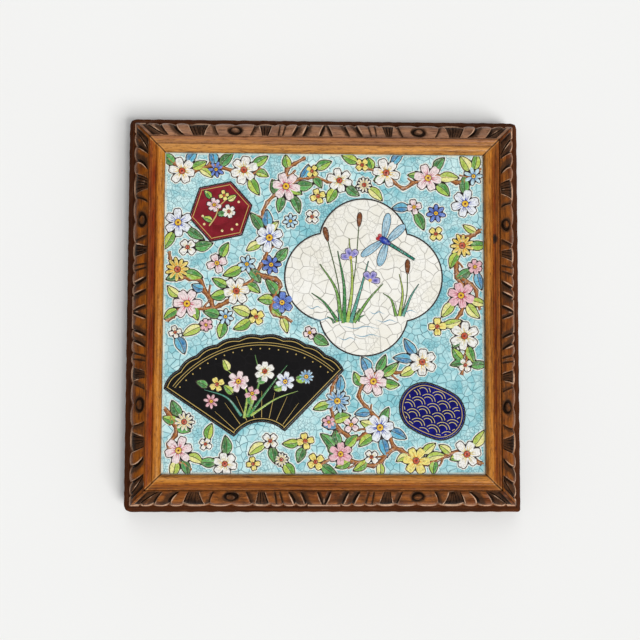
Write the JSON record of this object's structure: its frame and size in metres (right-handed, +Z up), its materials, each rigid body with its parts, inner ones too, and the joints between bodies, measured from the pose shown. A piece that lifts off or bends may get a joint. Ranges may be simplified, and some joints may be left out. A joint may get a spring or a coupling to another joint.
{
  "type": "trivet",
  "caption": "Square trivet: a glazed enamelled tile set in a carved mitred hardwood frame with an inner moulding, on a base board with turned bun feet.",
  "frame": {"origin": "middle of the underside of the feet, on the surface that the trivet stands on", "axes": "+Z up, out of the tile's face; +X to the right and +Y to the back, along the frame's sides, as in the picture seen from above"},
  "size_m": [0.245, 0.245, 0.03],
  "materials": {
    "tile_glaze": "crackled gloss glaze with raised enamels",
    "moulding_wood": "polished, honey brown",
    "carved_wood": "polished, darkened in the hollows",
    "board_wood": "planed, unvarnished, aged",
    "turned_wood": "polished, dark brown",
    "key_wood": "sawn",
    "screw_brass": "dulled"
  },
  "bodies": {
    "root": {"tile": "tile_glaze", "sight_strip_back": "moulding_wood", "sight_strip_right": "moulding_wood", "sight_strip_front": "moulding_wood", "sight_strip_left": "moulding_wood", "carved_rail_back": "carved_wood", "carved_rail_right": "carved_wood", "carved_rail_front": "carved_wood", "carved_rail_left": "carved_wood", "base_board": "board_wood", "bun_foot_back_right": "turned_wood", "bun_foot_front_right": "turned_wood", "bun_foot_front_left": "turned_wood", "bun_foot_back_left": "turned_wood", "mitre_key_back_right": "key_wood", "mitre_key_front_right": "key_wood", "mitre_key_front_left": "key_wood", "mitre_key_back_left": "key_wood", "board_screws": "screw_brass"}
  },
  "joints": []
}
